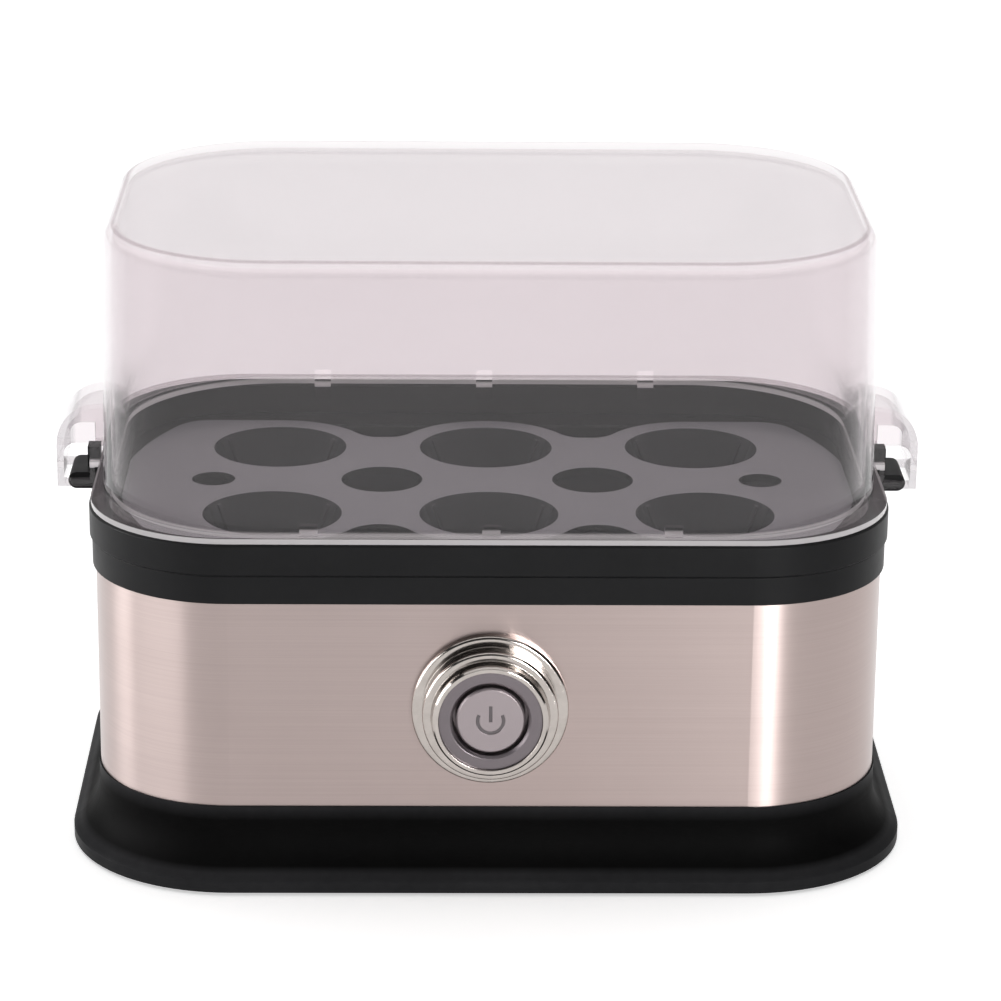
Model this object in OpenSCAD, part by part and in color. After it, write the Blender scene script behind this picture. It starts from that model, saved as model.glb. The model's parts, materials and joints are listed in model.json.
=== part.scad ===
// Egg cooker for six eggs: a steel-sleeved base that holds a water bowl and its heater, a lift-out
// egg tray, a clear lid that lifts off, and a sprung push button in a stepped bezel.
//
// Millimetres. X runs along the width, Y towards the back and Z up. The origin is on the resting
// surface, under the middle of the steel sleeve. The sleeve, collar, bowl and skirt are rounded
// rectangles that run side by side, so each is given by its offset from the sleeve's outer face:
// positive is outward and negative is inward.

/* [Body] */
// Width of the steel sleeve
body_w = 200; // [190:1:260]
// Depth of the steel sleeve
body_d = 140.5; // [134:0.5:190]
// Corner radius of the steel sleeve
body_r = 35; // [30:1:50]
// Height of the sleeve's lower edge
sleeve_z0 = 21.3; // [18:0.1:30]
// Height of the sleeve that shows
sleeve_h = 54.1; // [50:0.1:75]
// Thickness of the sleeve's sheet
sleeve_t = 0.6; // [0.4:0.1:1]

/* [Base] */
// How far the skirt's lip stands out from the sleeve
flare = 7.4; // [5:0.1:10]
// Radius of the hollow curve of the skirt
flare_r = 14; // [11:0.5:20]
// Wall of the skirt
skirt_wall = 2.2; // [1.6:0.1:3]
// Thickness of the floor
floor_t = 2.2; // [1.6:0.1:3]
// How far the rubber feet hold the skirt off the surface
foot_proud = 0.8; // [0.4:0.1:3]
// Diameter of a rubber foot
foot_d = 14; // [10:0.5:20]

/* [Collar] */
// Height of the lower black band
lower_band_h = 7.1; // [6:0.1:12]
// How far the lower band stands out from the sleeve
lower_proud = 0.86; // [0.6:0.02:1.6]
// Height of the upper black band
upper_band_h = 8.5; // [6.5:0.1:14]
// How far the upper band stands out from the sleeve
upper_proud = 1.46; // [1:0.02:3]
// Wall of the upper band
collar_wall = 5.66; // [4.5:0.02:7]
// Width of the ledge inside the collar that carries the tray
ledge_w = 11.3; // [9:0.1:14]
// Diameter of the posts that tie the collar to the base
post_d = 7; // [6:0.1:9]

/* [Lid] */
// Height of the lid above the collar
lid_h = 70; // [55:1:100]
// Wall of the lid
lid_wall = 2; // [1.4:0.1:2.6]
// How far the lid's wall leans in on each side from foot to top
lid_draft = 1.5; // [0.5:0.1:4]
// How much larger the lid's corner radius is than the sleeve's
lid_round = 8.5; // [4:0.5:14]
// Radius of the lid's top edge
lid_edge_r = 4; // [3:0.5:10]
// How far the lid's wall stands inside the sleeve's outer face
lid_inset = 1.35; // [1.1:0.05:3]
// Thickness of the lid's flange
lid_flange_t = 1.4; // [1:0.1:2.5]
// Width of a locating tab inside the lid's rim
tab_w = 4.5; // [3:0.5:10]
// Distance between the locating tabs
tab_pitch = 45; // [30:1:50]

/* [Hoods] */
// Width of a hood along the lid's end
hood_w = 20; // [18:0.5:30]
// How far a hood stands out from the sleeve's end
hood_reach = 12; // [11:0.5:18]
// Height of a hood's top above the lid's rim
hood_top = 17.2; // [14:0.2:25]
// How far a hood hangs below the lid's rim
hood_drop = 5.2; // [4:0.2:6]
// Wall of a hood
hood_wall = 1.8; // [1.4:0.1:2.4]

/* [Egg tray] */
// Distance between egg seats along the width
egg_pitch_x = 55.5; // [52:0.5:60]
// Distance between the two rows of egg seats
egg_pitch_y = 56.4; // [54:0.2:58]
// Diameter of an egg seat at the top
egg_seat_d = 36; // [30:0.5:40]
// Diameter of an egg seat at its open bottom
egg_seat_bottom_d = 27; // [20:0.5:30]
// Depth of an egg seat below the plate's top
egg_seat_depth = 10; // [7:0.5:13]
// Width of the plate left round an egg seat
seat_margin = 6; // [4:0.5:7]
// Thickness of the tray's plate
tray_t = 2; // [1.5:0.1:2.5]
// Diameter of the two round holes between the egg seats
steam_hole_d = 21.3; // [12:0.1:24]
// Diameter of the two holes near the tray's ends
finger_hole_d = 11.3; // [6:0.1:14]
// Distance of those holes from the middle
finger_hole_x = 72; // [68:1:78]

/* [Water bowl] */
// Depth of the bowl below its flange
bowl_depth = 19.6; // [15:0.2:22]
// Thickness of the bowl's sheet
bowl_t = 0.8; // [0.6:0.1:1.2]
// How far the bowl's wall leans in from rim to floor
bowl_lean = 4; // [2:0.5:6]

/* [Control] */
// Height of the button's centre
knob_z = 48; // [42:0.5:54]
// Diameter of the bezel's foot
bezel_d = 39.2; // [36:0.2:44]
// How far the bezel stands out from the sleeve
bezel_proud = 10.2; // [9:0.2:14]
// Outer diameter of the ring round the button
ring_d = 25.8; // [24:0.2:26.4]
// Diameter of the button
button_d = 17.2; // [12:0.2:18]
// Gap all round the button
button_gap = 0.8; // [0.3:0.05:1]
// Travel of the button
button_travel = 2; // [1:0.1:2.5]

/* [Heater and mains] */
// Diameter of the heating element's tube
element_d = 7; // [6:0.5:8]
// Bend radius of the heating element
element_bend_r = 24; // [20:0.5:26]
// Diameter of the bore of the cord gland
gland_bore_d = 7.2; // [5:0.1:8]
// Distance of the cord gland from the middle
gland_x = 36; // [20:1:46]
// Height of the cord gland's centre above the sleeve's lower edge
gland_rise = 14; // [14:0.5:30]
// Diameter of the insulated leads inside
lead_d = 2.2; // [1.6:0.1:2.6]

/* [Hidden] */

// Facets of a full circle
fine = 96;
// Facets of small round parts
small = 48;
// Overlap between the pieces that make up one solid
join = 0.4;

// Colours
clear = [0.92, 0.89, 0.9, 0.35];
black = [0.1, 0.1, 0.11];
grey = [0.5, 0.49, 0.5];
steel = [0.69, 0.65, 0.63];
chrome_silver = [0.82, 0.82, 0.83];
aluminium = [0.72, 0.73, 0.75];

// Fits between separate pieces
loose = 0.8;
slip = 0.1;
guide_clear = 0.06;

// Heights of the stack, from the surface up
foot_pocket = 2.2;
floor_z = foot_proud + foot_pocket;
floor_top = floor_z + floor_t;
band_z0 = sleeve_z0 + sleeve_h;
band_z1 = band_z0 + lower_band_h;
rim_z = band_z1 + upper_band_h;
deck_t = 2;
deck_top = band_z0 + deck_t;
seal_t = 1;
ledge_z0 = deck_top + bowl_t + seal_t;
ledge_t = 3.5;
ledge_top = ledge_z0 + ledge_t;
tray_top = ledge_top + tray_t;
lid_top = rim_z + lid_h;
bowl_floor_z = deck_top - bowl_depth;
sleeve_tuck = 2.6;

// Offsets from the sleeve's outer face
ring_bevel = 0.6;
neck_off = 0.4;
spigot_off = -sleeve_t - slip;
spigot_wall = 2.5;
collar_in_off = upper_proud - collar_wall;
frame_in_off = spigot_off - spigot_wall;
ring_spigot_off = frame_in_off - slip;
ledge_in_off = collar_in_off - ledge_w;
bowl_rim_off = ledge_in_off - 0.5;
bowl_flange_off = ring_spigot_off - 1.2;
post_off = (ledge_in_off + ring_spigot_off) / 2;

// Tray
tray_end_x = body_w / 2 + collar_in_off - loose;
tray_end_r = tray_end_x + 1.3;
seat_ring_r = egg_seat_d / 2 + seat_margin;
tray_corner_r = 10;
seat_wall = 1.6;
scallop_r = 8.7;

// Posts and feet
post_x = body_w / 2 - 38;
post_y = body_d / 2 + post_off;
post_clear = 0.6;
foot_x = body_w / 2 - 28;
foot_y = body_d / 2 - 22.25;
foot_plug_d = 4.8;
screw_d = 2.9;
pilot_d = 2.6;
pilot_depth = 22;

// Control, measured along the button's axis from the sleeve's face, outward positive
barrel_d = ring_d + 3.2;
bezel_flange_t = 2.4;
tier_d = bezel_d - 5.4;
tier_p = 6.8;
front_d = ring_d + 2.6;
ring_seat_p = 4;
ring_front_p = bezel_proud - 0.7;
barrel_p = -7;
shoulder_d = button_d + 4;
button_flange_t = 2;
button_flange_p = ring_seat_p - 0.3;
button_front_p = bezel_proud - 0.9;
stem_d = 4;
stem_p = barrel_p + 1;
bracket_t = 1.5;
bracket_p = barrel_p - bracket_t;
plunger_d = 3.4;
plunger_p = bracket_p - 3.5;
switch_w = 13;
switch_h = 12;
switch_len = 12;
switch_p = bracket_p - switch_len;
switch_tab_x = 3.5;
bracket_screw_r = (shoulder_d + barrel_d) / 4;
nut_t = 3;

// Heater
heat_plate_t = 2;
heat_plate_size = [122, 70];
heat_plate_r = 12;
heat_plate_z = bowl_floor_z - heat_plate_t;
element_z = heat_plate_z - element_d / 2 - guide_clear;
element_x = -22;
element_end_x = 38;
pin_d = 3;
pin_len = 12;
thermostat_x = -4;
thermostat_d = 17;
thermostat_h = 7;
thermostat_tab_x = 5;
tab_len = 5;
tab_t = 0.8;
earth_tag_at = [-54, 20];
fuse_x = 22;
fuse_d = 4;
fuse_len = 12;
fuse_z = heat_plate_z - fuse_d / 2 - guide_clear;

// Mains
block_x = 60;
block_y = 38;
block_size = [26, 12, 10];
block_screw_x = block_size[0] / 2 - 2.5;
pedestal_h = 4;
block_z = floor_top + pedestal_h;
lead_pitch = 6;
lead_sunk = 4;
lead_z = block_z + block_size[2] / 2;
lead_y = block_y - block_size[1] / 2;
gland_barrel_d = gland_bore_d + 4.6;
gland_flange_d = gland_barrel_d + 4.2;
gland_flange_t = 2.5;
gland_barrel_len = 8;
gland_z = sleeve_z0 + gland_rise;
switch_tab_y = -body_d / 2 - switch_p + tab_len + 0.5;

// ---------- shared shapes ----------

// Rounded rectangle about the origin
module rounded_rect(w, d, r)
{
    square([w, d - 2 * r], center = true);
    square([w - 2 * r, d], center = true);
    for (x = [-1, 1], y = [-1, 1])
        translate([x * (w / 2 - r), y * (d / 2 - r)]) circle(r = r, $fn = fine);
}

// Flat plate whose edge runs at an offset from the sleeve
module plate(off, z0, z1)
{
    translate([0, 0, z0]) linear_extrude(height = z1 - z0)
        rounded_rect(body_w + 2 * off, body_d + 2 * off, body_r + off);
}

// A profile, x outward from the side's face and y up, carried round a rounded rectangle
module carried(w, d, r)
{
    long = w / 2 - r;
    short = d / 2 - r;
    for (c = [[long, short, 0], [-long, short, 90], [-long, -short, 180], [long, -short, 270]])
        translate([c[0], c[1], 0]) rotate([0, 0, c[2]])
            rotate_extrude(angle = 90, $fn = fine) translate([r, 0]) children();
    for (a = [0, 180])
        rotate([0, 0, a]) translate([w / 2, short, 0]) rotate([90, 0, 0])
            linear_extrude(height = 2 * short) children();
    for (a = [90, 270])
        rotate([0, 0, a]) translate([d / 2, long, 0]) rotate([90, 0, 0])
            linear_extrude(height = 2 * long) children();
}

// A profile carried round the sleeve's own outline
module band()
{
    carried(body_w, body_d, body_r) children();
}

// Rectangle by its corners
module span(x0, y0, x1, y1)
{
    translate([x0, y0]) square([x1 - x0, y1 - y0]);
}

module at_posts(z)
{
    for (x = [-1, 1], y = [-1, 1]) translate([x * post_x, y * post_y, z]) children();
}

module at_seats(z)
{
    for (x = [-1, 0, 1], y = [-0.5, 0.5])
        translate([x * egg_pitch_x, y * egg_pitch_y, z]) children();
}

// The button's axis: z of the child points out of the front
module at_knob(p)
{
    translate([0, -body_d / 2 - p, knob_z]) rotate([90, 0, 0]) children();
}

// The gland's axis: z of the child points out of the back
module at_gland()
{
    translate([gland_x, body_d / 2, gland_z]) rotate([-90, 0, 0]) children();
}

// Smooth run through a list of points, in equal steps between each two
function run_point(p, i, t) =
    let (a = p[max(i - 1, 0)], b = p[i], c = p[i + 1], d = p[min(i + 2, len(p) - 1)])
    0.5 * (2 * b + (c - a) * t + (2 * a - 5 * b + 4 * c - d) * t * t
        + (3 * b - a - 3 * c + d) * t * t * t);

function smooth_run(p, steps) = concat(
    [for (i = [0:len(p) - 2], k = [0:steps - 1]) run_point(p, i, k / steps)], [p[len(p) - 1]]);

// Closed tube of the given rings, each a list of n points
module tube(rings, n)
{
    last = len(rings) - 1;
    points = [for (ring = rings, q = ring) q];
    walls = [for (i = [0:last - 1], j = [0:n - 1])
        [i * n + j, (i + 1) * n + j, (i + 1) * n + (j + 1) % n, i * n + (j + 1) % n]];
    ends = [[for (j = [0:n - 1]) j], [for (j = [n - 1:-1:0]) last * n + j]];
    polyhedron(points = points, faces = concat(walls, ends));
}

// Insulated lead through a list of points; across is a direction that no stretch of it runs along
module lead(points, across)
{
    n = 8;
    run = smooth_run(points, 5);
    last = len(run) - 1;
    tube([for (i = [0:last])
        let (along = run[min(i + 1, last)] - run[max(i - 1, 0)],
            u = cross(along, across) / norm(cross(along, across)),
            v = cross(along, u) / norm(along))
        [for (j = [0:n - 1]) run[i] + lead_d / 2 * (u * cos(360 * j / n) + v * sin(360 * j / n))]],
        n);
}

// ---------- lid ----------

lid_w = body_w - 2 * lid_inset;
lid_d = body_d - 2 * lid_inset;
lid_r = body_r + lid_round;
// How far inside the lid's wall its flat top begins
lid_flat_off = -lid_edge_r - 7;

// Section of the lid's wall and top edge, filled to its inner side
module lid_section(inset, foot)
{
    knee_z = lid_top - lid_edge_r;
    knee_x = -lid_draft - lid_edge_r;
    deep = lid_flat_off - 1;
    polygon([[deep, foot], [-inset, foot], [knee_x + lid_edge_r - inset, knee_z], [deep, knee_z]]);
    span(deep, knee_z, knee_x, lid_top - inset);
    translate([knee_x, knee_z]) circle(r = lid_edge_r - inset, $fn = fine);
}

module lid_wall_ring()
{
    carried(lid_w, lid_d, lid_r) difference() {
        intersection() {
            lid_section(0, rim_z);
            span(lid_flat_off, rim_z, 1, lid_top + 1);
        }
        lid_section(lid_wall, rim_z - 1);
    }
    translate([0, 0, lid_top - lid_wall]) linear_extrude(height = lid_wall)
        rounded_rect(lid_w + 2 * lid_flat_off, lid_d + 2 * lid_flat_off, lid_r + lid_flat_off);
}

module lid_flange()
{
    flange_off = upper_proud - ring_bevel + 0.14;
    translate([0, 0, rim_z]) linear_extrude(height = lid_flange_t) difference() {
        rounded_rect(body_w + 2 * flange_off, body_d + 2 * flange_off, body_r + flange_off);
        rounded_rect(lid_w - lid_wall, lid_d - lid_wall, lid_r - lid_wall / 2);
    }
}

// Side view of a hood on the right end, drawn smaller by inset
module hood_view(inset)
{
    x1 = body_w / 2 + hood_reach - inset;
    z0 = rim_z - hood_drop;
    z1 = rim_z + hood_top - inset;
    r = hood_reach - 1 - inset;
    difference() {
        union() {
            span(lid_w / 2 - lid_wall, z0, x1, z1 - r);
            span(lid_w / 2 - lid_wall, z0, x1 - r, z1);
            translate([x1 - r, z1 - r]) circle(r = r, $fn = fine);
        }
        span(0, z0 - 1, body_w / 2 + upper_proud + loose, rim_z);
        span(0, z0 - 1, lid_w / 2 - lid_wall / 2 - lid_draft * hood_top / lid_h, z1 + 1);
    }
}

// Opening in a hood's cheek, with one rounded corner
module hood_window()
{
    x0 = body_w / 2 + upper_proud + loose + 1.3;
    x1 = body_w / 2 + hood_reach - hood_wall;
    z0 = rim_z - hood_drop + hood_wall;
    z1 = rim_z + 0.38 * hood_top;
    r = 3;
    span(x0, z0, x1, z1 - r);
    span(x0, z0, x1 - r, z1);
    translate([x1 - r, z1 - r]) circle(r = r, $fn = small);
}

module hood()
{
    cheek_y = hood_w / 2;
    hollow_x = lid_w / 2 + 0.3;
    for (y = [-cheek_y + hood_wall, cheek_y])
        translate([0, y, 0]) rotate([90, 0, 0]) linear_extrude(height = hood_wall)
            difference() {
                hood_view(0);
                hood_window();
            }
    translate([0, cheek_y, 0]) rotate([90, 0, 0]) linear_extrude(height = hood_w)
        difference() {
            hood_view(0);
            difference() {
                hood_view(hood_wall);
                span(0, 0, hollow_x, lid_top);
            }
        }
}

module lid_tab()
{
    tab_t = 1.5;
    tab_drop = 3.8;
    tab_rise = 5;
    y1 = body_d / 2 + collar_in_off - 0.3;
    y0 = y1 - tab_t;
    wall_y = lid_d / 2 - lid_wall / 2;
    heel_z = rim_z + join / 2;
    rotate([90, 0, 90]) linear_extrude(height = tab_w, center = true)
        polygon([[y0, rim_z - tab_drop], [y1, rim_z - tab_drop], [y1, heel_z], [wall_y, heel_z],
            [wall_y, rim_z + tab_rise], [y0, rim_z + tab_rise - 3]]);
}

module lid()
{
    color(clear) {
        lid_wall_ring();
        lid_flange();
        hood();
        mirror([1, 0, 0]) hood();
        for (i = [-1:1], turn = [0, 180])
            rotate([0, 0, turn]) translate([i * tab_pitch, 0, 0]) lid_tab();
    }
}

// ---------- egg tray ----------

// Plan of the plate: a disc round each seat, scallops between them, rounded ends on the ledge
module tray_plan()
{
    seat_y = egg_pitch_y / 2;
    edge_y = seat_y + seat_ring_r;
    corner_y = edge_y - tray_corner_r;
    corner_x = sqrt(pow(tray_end_r - tray_corner_r, 2) - pow(corner_y, 2));
    corner_a = atan2(corner_y, corner_x);
    fan = 2 * tray_end_r;
    half_pitch = egg_pitch_x / 2;
    scallop_y = seat_y + sqrt(pow(seat_ring_r + scallop_r, 2) - pow(half_pitch, 2));

    for (x = [-1, 0, 1], y = [-1, 1])
        translate([x * egg_pitch_x, y * seat_y]) circle(r = seat_ring_r, $fn = fine);
    difference() {
        union() {
            square([2 * egg_pitch_x, egg_pitch_y], center = true);
            for (x = [-1, 1], y = [-1, 1])
                polygon([[x * half_pitch - half_pitch, y * seat_y - y * join],
                    [x * half_pitch, y * scallop_y],
                    [x * half_pitch + half_pitch, y * seat_y - y * join]]);
        }
        for (x = [-1, 1], y = [-1, 1])
            translate([x * half_pitch, y * scallop_y]) circle(r = scallop_r, $fn = fine);
    }
    for (x = [-1, 1]) {
        for (y = [-1, 1])
            translate([x * corner_x, y * corner_y]) circle(r = tray_corner_r, $fn = fine);
        polygon([[x * (egg_pitch_x - join), -edge_y], [x * corner_x, -edge_y],
            [x * corner_x, edge_y], [x * (egg_pitch_x - join), edge_y]]);
        intersection() {
            circle(r = tray_end_r, $fn = fine);
            polygon([[0, 0], [x * fan * cos(corner_a), fan * sin(corner_a)],
                [x * fan * cos(corner_a), -fan * sin(corner_a)]]);
            square([2 * tray_end_x, body_d], center = true);
        }
    }
}

module egg_tray()
{
    seat_z0 = tray_top - egg_seat_depth;
    rib_t = 1.2;
    rib_proud = 1;
    color(grey) difference() {
        union() {
            difference() {
                union() {
                    translate([0, 0, tray_top - tray_t]) linear_extrude(height = tray_t)
                        tray_plan();
                    at_seats(seat_z0)
                        cylinder(h = egg_seat_depth - join, d1 = egg_seat_bottom_d + 2 * seat_wall,
                            d2 = egg_seat_d + 2 * seat_wall, $fn = fine);
                }
                at_seats(seat_z0 - join)
                    cylinder(h = egg_seat_depth + 2 * join, d1 = egg_seat_bottom_d,
                        d2 = egg_seat_d, $fn = fine);
            }
            // Ribs that hold the egg off the seat's wall
            at_seats(seat_z0) for (a = [35, 145, 215, 325]) rotate([0, 0, a])
                rotate([90, 0, 0]) linear_extrude(height = rib_t, center = true)
                    polygon([[egg_seat_bottom_d / 2 - rib_proud, 0],
                        [egg_seat_bottom_d / 2 + seat_wall / 2, 0],
                        [egg_seat_d / 2 + seat_wall / 2, egg_seat_depth - 1],
                        [egg_seat_d / 2 - rib_proud, egg_seat_depth - 1]]);
        }
        for (x = [-1, 1]) {
            translate([x * egg_pitch_x / 2, 0, ledge_top - 1])
                cylinder(h = tray_t + 2, d = steam_hole_d, $fn = fine);
            translate([x * finger_hole_x, 0, ledge_top - 1])
                cylinder(h = tray_t + 2, d = finger_hole_d, $fn = small);
        }
    }
}

// ---------- collar, sleeve and base ----------

module collar_lug()
{
    lug_w = hood_w - 2 * hood_wall - 1.4;
    peg_h = 4.4;
    peg_z = rim_z - 4.4;
    fin_w = 5;
    fin_reach = 3.2;
    fin_rise = 3.2;
    face = body_w / 2 + upper_proud;
    // The round end of the lug stays inside the hood's front wall
    peg_x = body_w / 2 + hood_reach - hood_wall - loose - peg_h / 2;
    translate([0, lug_w / 2, 0]) rotate([90, 0, 0]) linear_extrude(height = lug_w) {
        span(face - 1, peg_z - peg_h / 2, peg_x, peg_z + peg_h / 2);
        translate([peg_x, peg_z]) circle(d = peg_h, $fn = small);
    }
    translate([0, fin_w / 2, 0]) rotate([90, 0, 0]) linear_extrude(height = fin_w)
        span(face, peg_z, face + fin_reach, rim_z + fin_rise);
}

module top_ring()
{
    bevel = ring_bevel;
    edge = upper_proud - bevel;
    color(black) difference() {
        union() {
            band() polygon([[ledge_in_off, ledge_z0], [ring_spigot_off, ledge_z0],
                [ring_spigot_off, band_z1], [edge, band_z1], [upper_proud, band_z1 + bevel],
                [upper_proud, rim_z - bevel], [edge, rim_z], [collar_in_off + bevel, rim_z],
                [collar_in_off, rim_z - bevel], [collar_in_off, ledge_top],
                [ledge_in_off + bevel, ledge_top], [ledge_in_off, ledge_top - bevel]]);
            at_posts(floor_top)
                cylinder(h = ledge_z0 - floor_top + 1, d = post_d, $fn = small);
            collar_lug();
            mirror([1, 0, 0]) collar_lug();
        }
        at_posts(floor_top - 1) cylinder(h = pilot_depth + 1, d = pilot_d, $fn = small);
    }
}

module inner_frame()
{
    lip_off = 0.05;
    tuck_z = band_z0 + sleeve_tuck + 0.05;
    color(black) difference() {
        band() polygon([[ledge_in_off, band_z0], [spigot_off, band_z0], [spigot_off, tuck_z],
            [lip_off, tuck_z], [lip_off, band_z0], [lower_proud, band_z0],
            [lower_proud, band_z1], [frame_in_off, band_z1], [frame_in_off, deck_top],
            [ledge_in_off, deck_top]]);
        at_posts(band_z0 - 1) cylinder(h = deck_t + 2, d = post_d + post_clear, $fn = small);
    }
}

module steel_shell()
{
    color(steel) difference() {
        band() span(-sleeve_t, sleeve_z0, 0, band_z0 + sleeve_tuck);
        at_knob(-3) cylinder(h = 6, d = barrel_d + 0.6, $fn = fine);
        at_gland() translate([0, 0, -3]) cylinder(h = 6, d = gland_barrel_d + 0.4, $fn = small);
    }
}

// Section of the skirt: an upright neck, a hollow curve and an upright lip
module skirt_section()
{
    shoulder_t = 2.5;
    spigot_rise = 5;
    neck_h = 5.3;
    curve_x = neck_off + flare_r;
    curve_z = sleeve_z0 - neck_h;
    lip_in = 0.5;
    lip_x = flare - lip_in;
    lip_z = curve_z - sqrt(pow(flare_r, 2) - pow(curve_x - lip_x, 2));
    inner_x = neck_off - skirt_wall;
    foot_x_in = flare - skirt_wall;
    difference() {
        polygon([[inner_x, sleeve_z0], [neck_off, sleeve_z0], [neck_off, curve_z],
            [lip_x, curve_z], [lip_x, lip_z], [flare, lip_z - lip_in], [flare, foot_proud],
            [foot_x_in, foot_proud], [inner_x, foot_proud]]);
        translate([curve_x, curve_z]) circle(r = flare_r, $fn = fine);
        difference() {
            span(inner_x - 1, foot_proud - 1, foot_x_in, curve_z);
            translate([curve_x, curve_z]) circle(r = flare_r + skirt_wall, $fn = fine);
        }
    }
    span(frame_in_off, sleeve_z0 - shoulder_t, neck_off, sleeve_z0);
    span(frame_in_off, sleeve_z0 - shoulder_t, spigot_off, sleeve_z0 + spigot_rise);
}

module base_skirt()
{
    floor_off = flare - skirt_wall - 0.3;
    color(black) difference() {
        union() {
            band() skirt_section();
            plate(floor_off, floor_z, floor_top);
            translate([block_x - block_size[0] / 2, block_y - block_size[1] / 2, floor_top - join])
                cube([block_size[0], block_size[1], pedestal_h + join]);
        }
        at_posts(floor_z - 1) cylinder(h = floor_t + 2, d = screw_d + 0.5, $fn = small);
        for (x = [-1, 1], y = [-1, 1]) translate([x * foot_x, y * foot_y, floor_z - 1])
            cylinder(h = floor_t + 2, d = foot_plug_d + 0.2, $fn = small);
        for (x = [-1, 1])
            translate([block_x + x * block_screw_x, block_y, floor_top + 0.5])
                cylinder(h = pedestal_h, d = 2, $fn = small);
    }
}

module rubber_feet()
{
    edge = 0.8;
    plug_r = foot_plug_d / 2;
    plug_top = floor_top + 0.6;
    color([0.16, 0.16, 0.17]) for (x = [-1, 1], y = [-1, 1])
        translate([x * foot_x, y * foot_y, 0]) rotate_extrude($fn = small)
            polygon([[0, 0], [foot_d / 2 - edge, 0], [foot_d / 2, edge], [foot_d / 2, floor_z],
                [plug_r, floor_z], [plug_r, plug_top], [0, plug_top]]);
}

module tie_screws()
{
    head_h = 1.8;
    color(aluminium) at_posts(floor_z) difference() {
        union() {
            translate([0, 0, -head_h]) cylinder(h = head_h, d = 6, $fn = small);
            cylinder(h = pilot_depth - 2, d = screw_d, $fn = small);
        }
        for (a = [0, 90]) rotate([0, 0, a]) translate([-1.6, -0.4, -head_h - 1])
            cube([3.2, 0.8, 2]);
    }
}

// ---------- water bowl and heater ----------

module heating_bowl()
{
    floor_off = bowl_rim_off - bowl_lean - 4.2;
    foot_off = bowl_rim_off - bowl_lean;
    color([0.3, 0.3, 0.31]) difference() {
        union() {
            band() polygon([[bowl_flange_off, deck_top], [bowl_flange_off, deck_top + bowl_t],
                [bowl_rim_off - bowl_t, deck_top + bowl_t],
                [foot_off - bowl_t, bowl_floor_z + 4.3],
                [foot_off - 2, bowl_floor_z + 1.9],
                [floor_off, bowl_floor_z + bowl_t], [floor_off, bowl_floor_z],
                [foot_off - 1.3, bowl_floor_z + 1.2], [foot_off, bowl_floor_z + 4],
                [bowl_rim_off, deck_top]]);
            plate(floor_off, bowl_floor_z, bowl_floor_z + bowl_t);
        }
        at_posts(deck_top - 1) cylinder(h = bowl_t + 2, d = post_d + post_clear, $fn = small);
    }
}

module bowl_seal()
{
    outer_off = post_off - post_d / 2 - post_clear;
    color([0.75, 0.75, 0.73]) band()
        span(ledge_in_off + 0.2, deck_top + bowl_t, outer_off, ledge_z0);
}

module heat_plate()
{
    color(aluminium) translate([0, 0, heat_plate_z]) linear_extrude(height = heat_plate_t)
        rounded_rect(heat_plate_size[0], heat_plate_size[1], heat_plate_r);
}

module heating_element()
{
    color([0.45, 0.45, 0.46]) translate([0, 0, element_z]) {
        translate([element_x, 0, 0]) rotate([0, 0, 90])
            rotate_extrude(angle = 180, $fn = fine)
                translate([element_bend_r, 0]) circle(d = element_d, $fn = small);
        for (y = [-1, 1]) translate([element_x, y * element_bend_r, 0]) rotate([0, 90, 0])
            cylinder(h = element_end_x - element_x, d = element_d, $fn = small);
    }
}

module element_terminals()
{
    color(steel) for (y = [-1, 1])
        translate([element_end_x, y * element_bend_r, element_z]) rotate([0, 90, 0])
            cylinder(h = pin_len, d = pin_d, $fn = small);
}

module thermostat()
{
    color([0.2, 0.2, 0.21]) translate([thermostat_x, 0, heat_plate_z - thermostat_h]) {
        cylinder(h = thermostat_h, d = thermostat_d, $fn = fine);
        for (x = [-1, 1])
            translate([x * thermostat_tab_x - tab_t / 2, -tab_len / 2, -tab_len])
                cube([tab_t, tab_len, tab_len + join]);
    }
}

module thermal_fuse()
{
    color([0.85, 0.85, 0.8]) translate([fuse_x, fuse_len / 2, fuse_z]) rotate([90, 0, 0])
        cylinder(h = fuse_len, d = fuse_d, $fn = small);
}

module fuse_clip()
{
    clip_w = 6;
    clip_t = 0.8;
    hold = 0.2;
    wing = 4;
    half = fuse_d / 2 + clip_t + hold / 2;
    color(aluminium) translate([fuse_x, clip_w / 2, 0]) rotate([90, 0, 0])
        linear_extrude(height = clip_w) difference() {
            union() {
                translate([0, fuse_z]) circle(r = half, $fn = small);
                span(-half, fuse_z, half, heat_plate_z);
                span(-half - wing, heat_plate_z - clip_t, half + wing, heat_plate_z);
            }
            translate([0, fuse_z]) circle(d = fuse_d + hold, $fn = small);
            span(clip_t - half, fuse_z, half - clip_t, heat_plate_z + 1);
        }
}

module earth_tag()
{
    pad = [8, 6];
    blade_len = 6;
    color([0.8, 0.7, 0.35])
        translate([earth_tag_at[0], earth_tag_at[1] - pad[1] / 2, heat_plate_z - tab_t]) {
            translate([-pad[0] / 2, 0, 0]) cube([pad[0], pad[1], tab_t]);
            translate([-tab_t / 2, 0, -blade_len]) cube([tab_t, pad[1], blade_len + join]);
        }
}

// ---------- control ----------

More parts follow.
